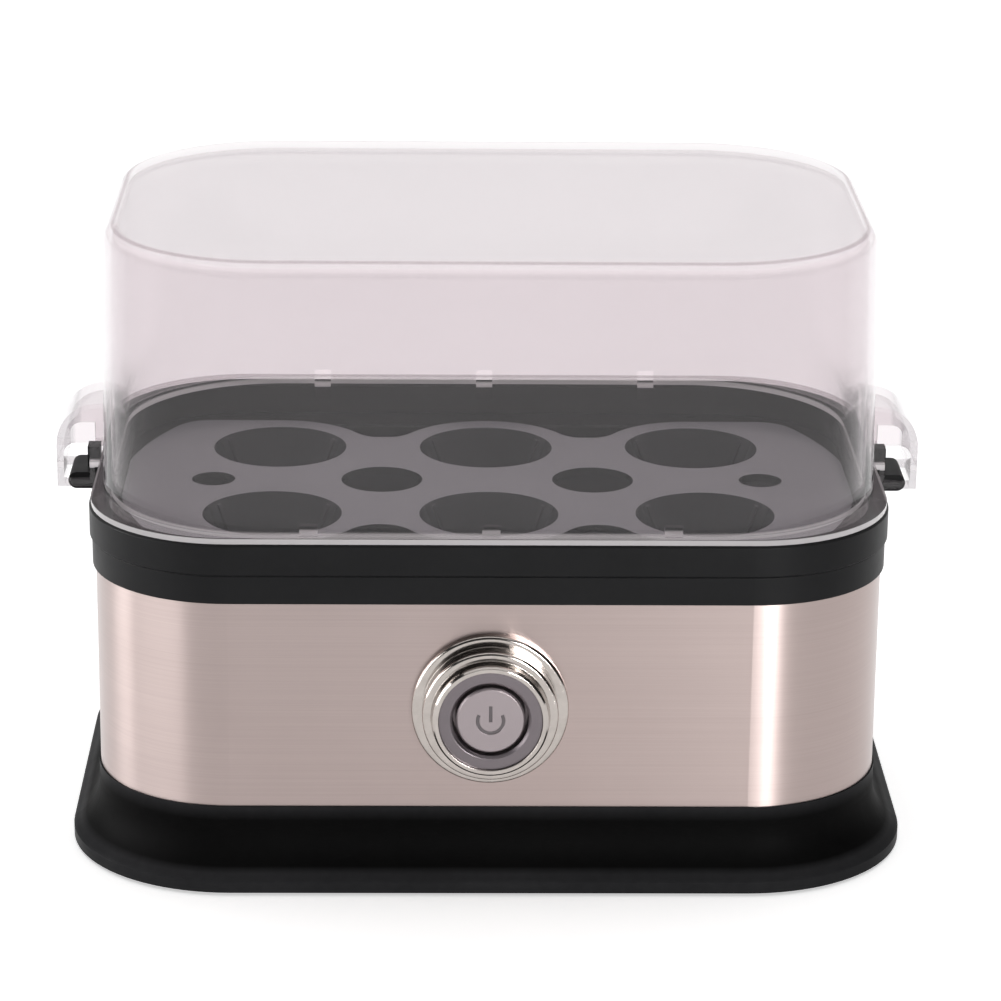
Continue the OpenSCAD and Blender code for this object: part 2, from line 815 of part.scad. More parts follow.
module bezel()
{
    tier_r = tier_d / 2;
    front_r = front_d / 2;
    foot_edge = 0.9;
    tier_edge = 0.8;
    color(chrome_silver) at_knob(0) difference() {
        rotate_extrude($fn = fine) {
            difference() {
                union() {
                    span(0, barrel_p, barrel_d / 2, 1);
                    span(0, 0, bezel_d / 2, bezel_flange_t - foot_edge);
                    span(0, 0, bezel_d / 2 - foot_edge, bezel_flange_t);
                    translate([bezel_d / 2 - foot_edge, bezel_flange_t - foot_edge])
                        circle(r = foot_edge, $fn = small);
                    span(0, 0, tier_r, tier_p - tier_edge);
                    span(0, 0, tier_r - tier_edge, tier_p);
                    translate([tier_r - tier_edge, tier_p - tier_edge])
                        circle(r = tier_edge, $fn = small);
                    polygon([[0, tier_p - 1], [front_r + 0.8, tier_p - 1],
                        [front_r + 0.2, bezel_proud - 0.5], [front_r - 0.3, bezel_proud],
                        [0, bezel_proud]]);
                }
                span(-1, ring_seat_p, ring_d / 2 + 0.05, bezel_proud + 1);
                span(-1, barrel_p - 1, shoulder_d / 2, ring_seat_p + 1);
                span(-bezel_d, barrel_p - 1, 0, bezel_proud + 1);
            }
        }
        for (x = [-1, 1]) translate([x * bracket_screw_r, 0, barrel_p - 1])
            cylinder(h = 6, d = 1.7, $fn = small);
    }
}

module bezel_nut()
{
    color(steel) at_knob(-sleeve_t - nut_t) difference() {
        cylinder(h = nut_t, d = barrel_d + 8, $fn = 6);
        translate([0, 0, -1]) cylinder(h = nut_t + 2, d = barrel_d + 0.1, $fn = fine);
    }
}

module light_ring()
{
    bevel = 0.7;
    inner_r = button_d / 2 + button_gap;
    color([0.3, 0.3, 0.31]) at_knob(0) rotate_extrude($fn = fine)
        polygon([[inner_r, ring_seat_p], [ring_d / 2, ring_seat_p], [ring_d / 2, ring_front_p],
            [inner_r + bevel, ring_front_p], [inner_r, ring_front_p - bevel]]);
}

module power_button()
{
    edge = 0.5;
    mark_r = 3.2;
    mark_line = 0.8;
    mark_deep = 0.25;
    mark_arc = 235;
    flange_r = shoulder_d / 2 - 0.5;
    flange_back = button_flange_p - button_flange_t;
    cap_r = button_d / 2;
    color([0.69, 0.65, 0.66]) at_knob(0) difference() {
        rotate_extrude($fn = fine)
            polygon([[0, stem_p], [stem_d / 2, stem_p], [stem_d / 2, flange_back],
                [flange_r, flange_back], [flange_r, button_flange_p], [cap_r, button_flange_p],
                [cap_r, button_front_p - edge], [cap_r - edge, button_front_p],
                [0, button_front_p]]);
        // Generic power mark: an open circle and a bar
        translate([0, 0, button_front_p - mark_deep]) {
            rotate([0, 0, 90 + (360 - mark_arc) / 2]) rotate_extrude(angle = mark_arc, $fn = fine)
                translate([mark_r - mark_line / 2, 0]) square([mark_line, 1]);
            translate([-mark_line / 2, -0.1 * mark_r, 0]) cube([mark_line, 1.3 * mark_r, 1]);
        }
    }
}

// Coil spring on the stem, from the bracket to the button's flange
spring_r = 4.4;
spring_wire = 0.8;
spring_turns = 5;
spring_steps = 14;
spring_sides = 8;
spring_p0 = barrel_p + spring_wire / 2 + 0.02;
spring_p1 = button_flange_p - button_flange_t - spring_wire / 2 - 0.02;

function coil_point(i, j) =
    let (turn = 360 * i / spring_steps,
        rise = (spring_p1 - spring_p0) * i / (spring_turns * spring_steps),
        a = 360 * j / spring_sides,
        r = spring_r + spring_wire / 2 * cos(a))
    [r * cos(turn), r * sin(turn), spring_p0 + rise + spring_wire / 2 * sin(a)];

module button_spring()
{
    rings = spring_turns * spring_steps;
    color(steel) at_knob(0)
        tube([for (i = [0:rings]) [for (j = [0:spring_sides - 1]) coil_point(i, j)]],
            spring_sides);
}

module switch_bracket()
{
    plate_w = 34;
    plate_h = 18;
    arm_h = 10;
    arm_len = 8;
    arm_x = switch_w / 2 + 0.05 + bracket_t / 2;
    color(aluminium) at_knob(bracket_p) difference() {
        union() {
            translate([-plate_w / 2, -plate_h / 2, 0]) cube([plate_w, plate_h, bracket_t]);
            for (x = [-1, 1]) translate([x * arm_x - bracket_t / 2, -arm_h / 2, -arm_len])
                cube([bracket_t, arm_h, arm_len + join]);
        }
        translate([0, 0, -1]) cylinder(h = bracket_t + 2, d = stem_d + 1.2, $fn = small);
        for (x = [-1, 1]) translate([x * bracket_screw_r, 0, -1])
            cylinder(h = bracket_t + 2, d = 2.4, $fn = small);
    }
}

module bracket_screws()
{
    color(aluminium) at_knob(bracket_p) for (x = [-1, 1])
        translate([x * bracket_screw_r, 0, 0]) {
            translate([0, 0, -1.4]) cylinder(h = 1.4, d = 4, $fn = small);
            cylinder(h = bracket_t + 4, d = 2, $fn = small);
        }
}

module power_switch()
{
    // The plunger's guide is deep enough for the button's travel
    guide_p = plunger_p - button_travel - 1;
    color([0.14, 0.14, 0.15]) at_knob(switch_p) difference() {
        union() {
            translate([-switch_w / 2, -switch_h / 2, 0]) cube([switch_w, switch_h, switch_len]);
            for (x = [-1, 1])
                translate([x * switch_tab_x - tab_t / 2, -tab_len / 2, -tab_len])
                    cube([tab_t, tab_len, tab_len + join]);
        }
        translate([0, 0, guide_p - switch_p])
            cylinder(h = switch_len, d = plunger_d + 2 * guide_clear, $fn = small);
    }
}

module switch_plunger()
{
    color([0.85, 0.85, 0.84]) at_knob(plunger_p)
        cylinder(h = stem_p - plunger_p, d = plunger_d, $fn = small);
}

// ---------- mains ----------

module terminal_block()
{
    color([0.9, 0.89, 0.84]) difference() {
        translate([block_x - block_size[0] / 2, block_y - block_size[1] / 2, block_z])
            cube(block_size);
        for (x = [-1, 1]) translate([block_x + x * block_screw_x, block_y, floor_top])
            cylinder(h = pedestal_h + block_size[2] + 1, d = 2.6, $fn = small);
        for (i = [-1:1]) translate([block_x + i * lead_pitch, lead_y - 1, lead_z])
            rotate([-90, 0, 0]) cylinder(h = lead_sunk + 2, d = lead_d + 0.5, $fn = small);
    }
}

module block_screws()
{
    tip_z = floor_top + 1.5;
    head_z = block_z + block_size[2];
    color(aluminium) for (x = [-1, 1]) translate([block_x + x * block_screw_x, block_y, 0]) {
        translate([0, 0, tip_z]) cylinder(h = head_z - tip_z, d = 2.2, $fn = small);
        translate([0, 0, head_z]) cylinder(h = 1.6, d = 4.4, $fn = small);
    }
}

module cord_gland()
{
    edge = 0.8;
    color([0.12, 0.12, 0.13]) at_gland() rotate_extrude($fn = small)
        polygon([[gland_bore_d / 2, -gland_barrel_len], [gland_barrel_d / 2, -gland_barrel_len],
            [gland_barrel_d / 2, 0], [gland_flange_d / 2, 0],
            [gland_flange_d / 2, gland_flange_t - edge],
            [gland_flange_d / 2 - edge, gland_flange_t], [gland_bore_d / 2, gland_flange_t]]);
}

module gland_nut()
{
    color([0.12, 0.12, 0.13]) at_gland() translate([0, 0, -sleeve_t - nut_t]) difference() {
        cylinder(h = nut_t, d = gland_barrel_d + 6.2, $fn = 6);
        translate([0, 0, -1])
            cylinder(h = nut_t + 2, d = gland_barrel_d + 0.1, $fn = small);
    }
}

// Heights and places the leads run through
low_run_z = 14;
mid_run_z = knob_z - 14;
thermostat_end_z = heat_plate_z - thermostat_h - tab_len - 1;
pin_end_x = element_end_x + pin_len - 1;
pin_end_z = element_z - pin_d / 2 - lead_d / 2;
fuse_end_y = fuse_len / 2 + guide_clear;

// Straight start of a lead, in the terminal block's bore number i from its middle
function block_exit(i) = [for (out = [-lead_sunk, 0, 4])
    [block_x + i * lead_pitch, lead_y - out, lead_z]];

// Straight start of a lead at an end of the fuse
function fuse_exit(side) = [for (out = [0, 2.5, 5]) [fuse_x, side * (fuse_end_y + out), fuse_z]];

module line_lead()
{
    color([0.45, 0.25, 0.12]) lead(concat(block_exit(-1), [
        [block_x - lead_pitch, 12, lead_z], [10, switch_tab_y + 10, low_run_z],
        [switch_tab_x, switch_tab_y + 4, knob_z - 16],
        [switch_tab_x, switch_tab_y, knob_z - 4]]), [1, 0, 0]);
}

module switched_lead()
{
    color([0.12, 0.12, 0.13]) lead([[-switch_tab_x, switch_tab_y, knob_z - 4],
        [-5, switch_tab_y + 5, mid_run_z], [-9, -10, mid_run_z],
        [thermostat_x - thermostat_tab_x, 0, thermostat_end_z]], [1, 0, 0]);
}

module element_lead()
{
    color([0.12, 0.12, 0.13]) lead([[thermostat_x + thermostat_tab_x, 0, thermostat_end_z],
        [8, -4, mid_run_z], [44, -2, mid_run_z], [54, 14, mid_run_z + 6],
        [pin_end_x, element_bend_r, pin_end_z]], [0, 0, 1]);
}

module neutral_lead()
{
    color([0.15, 0.3, 0.6]) lead(concat(block_exit(1), [
        [block_x + lead_pitch, 16, 20], [52, 8, mid_run_z - 4], [26, 16, mid_run_z + 8],
        [fuse_x, fuse_end_y + 11, fuse_z - 3.2]],
        [for (i = [2:-1:0]) fuse_exit(1)[i]]), [1, 0, 0]);
}

module fuse_lead()
{
    color([0.15, 0.3, 0.6]) lead(concat(fuse_exit(-1), [
        [34, -15, fuse_z - 7], [46, -18, fuse_z - 7],
        [pin_end_x, -element_bend_r, pin_end_z]]), [0, 0, 1]);
}

module earth_lead()
{
    color([0.3, 0.55, 0.2]) lead(concat(block_exit(0), [
        [block_x, 22, 21], [20, 26, 26], [-40, 26, mid_run_z + 4],
        [earth_tag_at[0], earth_tag_at[1], heat_plate_z - 8]]), [0, 0, 1]);
}

lid();
egg_tray();
top_ring();
inner_frame();
steel_shell();
base_skirt();
rubber_feet();
tie_screws();
heating_bowl();
bowl_seal();
heat_plate();
heating_element();
element_terminals();
thermostat();
thermal_fuse();
fuse_clip();
earth_tag();
bezel();
bezel_nut();
light_ring();
power_button();
button_spring();
switch_bracket();
bracket_screws();
power_switch();
switch_plunger();
terminal_block();
block_screws();
cord_gland();
gland_nut();
line_lead();
switched_lead();
element_lead();
neutral_lead();
fuse_lead();
earth_lead();
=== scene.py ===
"""Egg cooker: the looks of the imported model, with its studio, camera and materials.

Everything is in metres in the frame's own axes: X along the width, Y to the back, Z up.
"""
import json
import math

import bmesh
import bpy
from mathutils import Matrix, Vector


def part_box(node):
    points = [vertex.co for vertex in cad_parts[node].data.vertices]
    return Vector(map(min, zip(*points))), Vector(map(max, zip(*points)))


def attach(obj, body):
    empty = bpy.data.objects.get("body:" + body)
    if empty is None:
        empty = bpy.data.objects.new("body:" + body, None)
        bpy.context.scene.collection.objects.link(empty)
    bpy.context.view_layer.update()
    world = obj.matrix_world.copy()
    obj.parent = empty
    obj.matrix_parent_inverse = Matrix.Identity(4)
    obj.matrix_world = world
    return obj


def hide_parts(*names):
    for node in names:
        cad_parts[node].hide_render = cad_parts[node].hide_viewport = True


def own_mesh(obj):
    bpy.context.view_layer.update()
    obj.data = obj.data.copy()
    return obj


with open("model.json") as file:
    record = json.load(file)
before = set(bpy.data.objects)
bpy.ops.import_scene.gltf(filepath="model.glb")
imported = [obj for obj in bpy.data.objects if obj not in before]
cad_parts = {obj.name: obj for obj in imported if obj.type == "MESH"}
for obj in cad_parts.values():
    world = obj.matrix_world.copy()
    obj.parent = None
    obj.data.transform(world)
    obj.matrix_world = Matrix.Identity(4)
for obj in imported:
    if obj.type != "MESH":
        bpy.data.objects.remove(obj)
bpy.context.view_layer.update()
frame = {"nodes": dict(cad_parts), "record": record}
nodes = frame["nodes"]
MM = 0.001
# Height of the collar's upper band, and how far the engraved mark reaches from the button's axis
UPPER_BAND = 8.5 * MM
MARK_REACH = 4.4 * MM
# Scale of the fine spark-eroded grain on moulded plastic
GRAIN = 1900.0
# Radius over which a piece's edges catch the light
EDGE_SOFTENING = 0.3 * MM
# Height of the foot's lip, and the level just under the sleeve where its flank ends
LIP = 5.0 * MM
CROWN = 20.0 * MM


# ---------- the camera ----------

def aim_camera():
    """A long lens, a little left of the middle and looking down, as the cooker is seen."""
    pitch, yaw, roll = math.radians(18.37), math.radians(1.19), math.radians(0.57)
    away = 0.999
    target = Vector((0.00355, 0.0, 0.0789))
    back = Vector((-math.sin(yaw) * math.cos(pitch), -math.cos(yaw) * math.cos(pitch),
                   math.sin(pitch)))
    data = bpy.data.cameras.new("camera")
    data.sensor_width = 36.0
    data.lens = 136.1
    camera = bpy.data.objects.new("camera", data)
    bpy.context.scene.collection.objects.link(camera)
    turn = (-back).to_track_quat("-Z", "Y").to_matrix()
    camera.matrix_world = (Matrix.Translation(target + away * back)
                           @ (turn @ Matrix.Rotation(roll, 3, "Z")).to_4x4())
    data.clip_start, data.clip_end = 0.01, 50.0
    bpy.context.scene.camera = camera


aim_camera()
bpy.context.scene.view_settings.view_transform = "Standard"


# ---------- node-graph helpers ----------

class Graph:
    """A material's node tree, with short calls for the nodes used here."""

    def __init__(self, name):
        self.material = bpy.data.materials.new(name)
        self.material.use_nodes = True
        self.tree = self.material.node_tree
        self.tree.nodes.clear()
        self.out = self.add("ShaderNodeOutputMaterial")

    def add(self, kind, **settings):
        node = self.tree.nodes.new(kind)
        for key, value in settings.items():
            setattr(node, key, value)
        return node

    def link(self, source, target):
        self.tree.links.new(source, target)

    def put(self, value, target):
        """Links a socket, or sets a plain value or colour."""
        if isinstance(value, bpy.types.NodeSocket):
            self.link(value, target)
        elif isinstance(value, tuple):
            target.default_value = (*value, 1.0)
        else:
            target.default_value = value

    def place(self, stretch=(1, 1, 1)):
        """Object coordinates, stretched."""
        where = self.add("ShaderNodeTexCoord").outputs["Object"]
        mapping = self.add("ShaderNodeMapping")
        mapping.inputs["Scale"].default_value = stretch
        self.link(where, mapping.inputs["Vector"])
        return mapping.outputs["Vector"]

    def noise(self, scale, detail=3.0, rough=0.55, stretch=(1, 1, 1)):
        node = self.add("ShaderNodeTexNoise")
        self.link(self.place(stretch), node.inputs["Vector"])
        node.inputs["Scale"].default_value = scale
        node.inputs["Detail"].default_value = detail
        node.inputs["Roughness"].default_value = rough
        return node.outputs["Fac"]

    def spread(self, fac, low, high, from_low=0.3, from_high=0.7):
        """Maps a value onto low..high."""
        node = self.add("ShaderNodeMapRange")
        self.link(fac, node.inputs["Value"])
        for key, value in (("From Min", from_low), ("From Max", from_high),
                           ("To Min", low), ("To Max", high)):
            node.inputs[key].default_value = value
        return node.outputs["Result"]

    def blend(self, fac, first, second):
        """Mixes two colours."""
        node = self.add("ShaderNodeMix", data_type="RGBA")
        self.put(fac, node.inputs["Factor"])
        for value, key in ((first, "A"), (second, "B")):
            socket = [s for s in node.inputs if s.name == key and s.type == "RGBA"][0]
            self.put(value, socket)
        return [s for s in node.outputs if s.type == "RGBA"][0]

    def sums(self, first, second, how="ADD"):
        node = self.add("ShaderNodeMath", operation=how)
        self.put(first, node.inputs[0])
        self.put(second, node.inputs[1])
        return node.outputs[0]

    def rounded(self):
        """The surface's normal, softened where two faces meet, as a moulded or pressed edge."""
        node = self.add("ShaderNodeBevel", samples=4)
        node.inputs["Radius"].default_value = EDGE_SOFTENING
        return node.outputs["Normal"]

    def bump(self, height, depth, strength=1.0, normal=None):
        node = self.add("ShaderNodeBump")
        node.inputs["Strength"].default_value = strength
        node.inputs["Distance"].default_value = depth
        self.link(height, node.inputs["Height"])
        if normal is not None:
            self.link(normal, node.inputs["Normal"])
        return node.outputs["Normal"]

    def principled(self, **sockets):
        node = self.add("ShaderNodeBsdfPrincipled")
        for key, value in sockets.items():
            name = key.replace("_", " ").title().replace("Ior", "IOR")
            self.put(value, node.inputs[name])
        return node

    def finish(self, shader):
        self.link(shader, self.out.inputs["Surface"])
        return self.material


def rgb(*values):
    """A colour read as 0..255 on screen, in linear light."""
    return tuple((v / 255 / 12.92 if v / 255 <= 0.04045 else ((v / 255 + 0.055) / 1.055) ** 2.4)
                 for v in values)


def dust(g, amount):
    """A slow change over centimetres and a finer one over millimetres, from 0 to amount."""
    slow = g.spread(g.noise(22.0, 4.0), 0.0, amount)
    fine = g.spread(g.noise(420.0, 3.0), 0.0, amount * 0.6)
    return g.sums(slow, fine)


# ---------- materials ----------

def moulded(name, dark, light, rough=(0.36, 0.46), depth=0.012 * MM, gloss=0.5):
    """Moulded plastic: a spark-eroded grain, faint flow marks and handling marks."""
    g = Graph(name)
    tone = g.blend(dust(g, 0.6), dark, light)
    rub = g.noise(90.0, 5.0, 0.65)
    normal = g.bump(g.noise(GRAIN, 2.0, 0.5), depth, 1.0, g.rounded())
    normal = g.bump(g.noise(14.0, 2.0), 0.02 * MM, 0.25, normal)
    shader = g.principled(base_color=tone, roughness=g.spread(rub, *rough), normal=normal,
                          specular_ior_level=gloss)
    return g.finish(shader.outputs[0])


def tray_moulding(name, deck, deck_light, wall, wall_light):
    """The tray's plastic: a satin deck, and polished walls in the seats and holes, coloured darker
    than the deck as painted shade.
    """
    g = Graph(name)
    marks = dust(g, 0.6)
    geometry = g.add("ShaderNodeNewGeometry")
    parts = g.add("ShaderNodeSeparateXYZ")
    g.link(geometry.outputs["Normal"], parts.inputs[0])
    flat = g.spread(g.sums(parts.outputs["Z"], parts.outputs["Z"], "MULTIPLY"), 0.0, 1.0,
                    0.55, 0.9)
    # Painted shade: faces that are not level, the walls of the seats and holes, take the darker
    # wall colours
    tone = g.blend(flat, g.blend(marks, wall, wall_light), g.blend(marks, deck, deck_light))
    rub = g.spread(g.noise(90.0, 5.0, 0.65), 0.0, 0.1)
    rough = g.sums(g.spread(flat, 0.16, 0.28, 0.0, 1.0), rub)
    normal = g.bump(g.noise(1500.0, 2.0, 0.5), 0.002 * MM, 1.0, g.rounded())
    normal = g.bump(g.noise(120.0, 3.0), 0.05 * MM, 0.2, normal)
    shader = g.principled(base_color=tone, roughness=rough, normal=normal, coat_weight=0.2)
    shader.inputs["Coat Roughness"].default_value = 0.12
    return g.finish(shader.outputs[0])


def skirt_moulding(name):
    """Black plastic of the foot: a dull flared flank between two satin edges, which are coloured
    lighter than the flank as painted sheen.
    """
    g = Graph(name)
    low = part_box("base_skirt")[0]
    marks = dust(g, 0.6)
    where = g.add("ShaderNodeSeparateXYZ")
    g.link(g.add("ShaderNodeTexCoord").outputs["Object"], where.inputs[0])
    height = where.outputs["Z"]
    lip = g.spread(height, 1.0, 0.0, low.z + LIP - 0.6 * MM, low.z + LIP + 0.8 * MM)
    crown = g.spread(height, 0.0, 1.0, CROWN - 2.5 * MM, CROWN + 1.5 * MM)
    satin = g.sums(lip, crown)
    # Painted sheen: the lip and the band under the sleeve take the lighter edge colours, the flank
    # the near-black ones
    flank = g.blend(marks, rgb(3, 3, 3), rgb(6, 6, 6))
    edge = g.blend(marks, rgb(22, 22, 23), rgb(30, 30, 31))
    rough = g.sums(g.spread(satin, 0.5, 0.36, 0.0, 1.0), g.spread(g.noise(90.0, 5.0), 0.0, 0.07))
    normal = g.bump(g.noise(GRAIN, 2.0, 0.5), 0.006 * MM, 1.0, g.rounded())
    shader = g.principled(base_color=g.blend(satin, flank, edge), roughness=rough, normal=normal)
    shader.inputs["Specular IOR Level"].default_value = 0.02
    return g.finish(shader.outputs[0])


def brushed_sleeve(name):
    """Satin steel: long fine lines round the sleeve, with a slow drift in their depth."""
    g = Graph(name)
    lines = g.noise(1.0, 3.0, 0.7, stretch=(16.0, 16.0, 9000.0))
    coarse = g.noise(1.0, 2.0, 0.6, stretch=(5.0, 5.0, 1900.0))
    both = g.sums(g.sums(lines, 0.65, "MULTIPLY"), g.sums(coarse, 0.35, "MULTIPLY"))
    tone = g.blend(g.spread(both, 0.0, 1.0), rgb(167, 153, 150), rgb(180, 165, 162))
    drift = g.blend(g.spread(g.noise(9.0, 3.0), 0.0, 0.4), tone, rgb(168, 152, 147))
    rough = g.sums(g.spread(both, 0.27, 0.31), g.spread(g.noise(30.0, 4.0), 0.0, 0.03))
    shader = g.principled(base_color=drift, metallic=1.0, roughness=rough, anisotropic=0.8,
                          anisotropic_rotation=0.25, normal=g.bump(both, 0.003 * MM, 0.5))
    return g.finish(shader.outputs[0])


def chrome(name):
    """Bright plating with a faint orange peel and finger haze."""
    g = Graph(name)
    haze = g.noise(260.0, 4.0, 0.6)
    tone = g.blend(g.spread(haze, 0.0, 0.6), rgb(184, 177, 172), rgb(164, 157, 152))
    shader = g.principled(base_color=tone, metallic=1.0, roughness=g.spread(haze, 0.09, 0.15),
                          normal=g.bump(g.noise(380.0, 2.0), 0.004 * MM, 0.5, g.rounded()))
    return g.finish(shader.outputs[0])


def turned(name, dark, light, rough, mark=None):
    """A spun or turned metal face: fine rings about the button's axis, and any engraved mark
    filled with dark paint."""
    g = Graph(name)
    low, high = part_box("power_button")
    face = Vector(((low.x + high.x) / 2, low.y, (low.z + high.z) / 2))
    where = g.add("ShaderNodeTexCoord").outputs["Object"]
    shift = g.add("ShaderNodeVectorMath", operation="SUBTRACT")
    g.link(where, shift.inputs[0])
    shift.inputs[1].default_value = face
    parts = g.add("ShaderNodeSeparateXYZ")
    g.link(shift.outputs[0], parts.inputs[0])
    flat = g.add("ShaderNodeCombineXYZ")
    g.link(parts.outputs["X"], flat.inputs["X"])
    g.link(parts.outputs["Z"], flat.inputs["Y"])
    length = g.add("ShaderNodeVectorMath", operation="LENGTH")
    g.link(flat.outputs[0], length.inputs[0])
    rings = g.add("ShaderNodeTexNoise", noise_dimensions="1D")
    g.link(length.outputs["Value"], rings.inputs["W"])
    rings.inputs["Scale"].default_value = 9000.0
    fac = rings.outputs["Fac"]
    tone = g.blend(g.sums(g.spread(fac, 0.0, 0.8), dust(g, 0.25)), dark, light)
    polish = 1.0
    if mark is not None:
        sunk = g.spread(parts.outputs["Y"], 0.0, 1.0, 0.08 * MM, 0.14 * MM)
        near = g.spread(length.outputs["Value"], 1.0, 0.0, MARK_REACH, MARK_REACH + 0.1 * MM)
        paint = g.sums(sunk, near, "MULTIPLY")
        tone = g.blend(paint, tone, mark)
        polish = g.sums(1.0, paint, "SUBTRACT")
    shader = g.principled(base_color=tone, metallic=polish, roughness=g.spread(fac, *rough),
                          normal=g.bump(fac, 0.003 * MM, 0.6, g.rounded()))
    return g.finish(shader.outputs[0])


def metal(name, dark, light, rough=(0.3, 0.45)):
    """Plain sheet or wire with a mill finish."""
    g = Graph(name)
    fac = g.noise(600.0, 4.0, 0.6)
    tone = g.blend(g.sums(g.spread(fac, 0.0, 0.7), dust(g, 0.3)), dark, light)
    shader = g.principled(base_color=tone, metallic=1.0, roughness=g.spread(fac, *rough),
                          normal=g.bump(fac, 0.006 * MM, 0.5))
    return g.finish(shader.outputs[0])


def non_stick(name):
    """Dark speckled coating of the water bowl."""
    g = Graph(name)
    speck = g.add("ShaderNodeTexVoronoi")
    g.link(g.place(), speck.inputs["Vector"])
    speck.inputs["Scale"].default_value = 900.0
    fleck = g.spread(speck.outputs["Distance"], 0.6, 0.0, 0.0, 0.3)
    tone = g.blend(fleck, rgb(46, 46, 50), rgb(78, 78, 83))
    shader = g.principled(base_color=g.blend(dust(g, 0.4), rgb(38, 38, 42), tone),
                          roughness=g.spread(g.noise(120.0, 4.0), 0.28, 0.4),
                          normal=g.bump(g.noise(1400.0, 2.0), 0.01 * MM, 0.6))
    return g.finish(shader.outputs[0])


# Tint of the clear lid by how far its face leans, from upright (0) to level (1): painted shade on
# the low walls, which are tinted darker, and painted light on the top, which is tinted lighter
LID_TINTS = ((0.0, (0.897, 0.871, 0.881)), (1.0, (0.978, 0.967, 0.971)),
             (0.004, (0.88, 0.853, 0.863)), (0.03, (0.905, 0.879, 0.889)),
             (0.45, (0.985, 0.965, 0.97)), (0.7, (0.97, 0.945, 0.955)))
# Tints and shares of the painted dark line, painted shade where the lid's top turns over its edge,
# and of its hoods
PAINTED_EDGE_SHADE = (0.66, 0.60, 0.62)
PAINTED_EDGE_SHADE_SHARE = 0.9
HOOD_TINT = (0.72, 0.71, 0.72)
HOOD_SHARE = 0.55
# Where the hoods' grey sets in: depths below the lid's top, and distances inwards from the tips
# of the collar's lugs
HOOD_FALL = (30.0 * MM, 25.0 * MM)
HOOD_START = (2.5 * MM, 1.5 * MM)
# Share and colour of the emission painted on the lid's flange and the wall's foot, painted light
# standing in for light carried inside the wall
PAINTED_EDGE_SHARE = 0.45
PAINTED_EDGE_GLOW = (0.95, 0.91, 0.92)


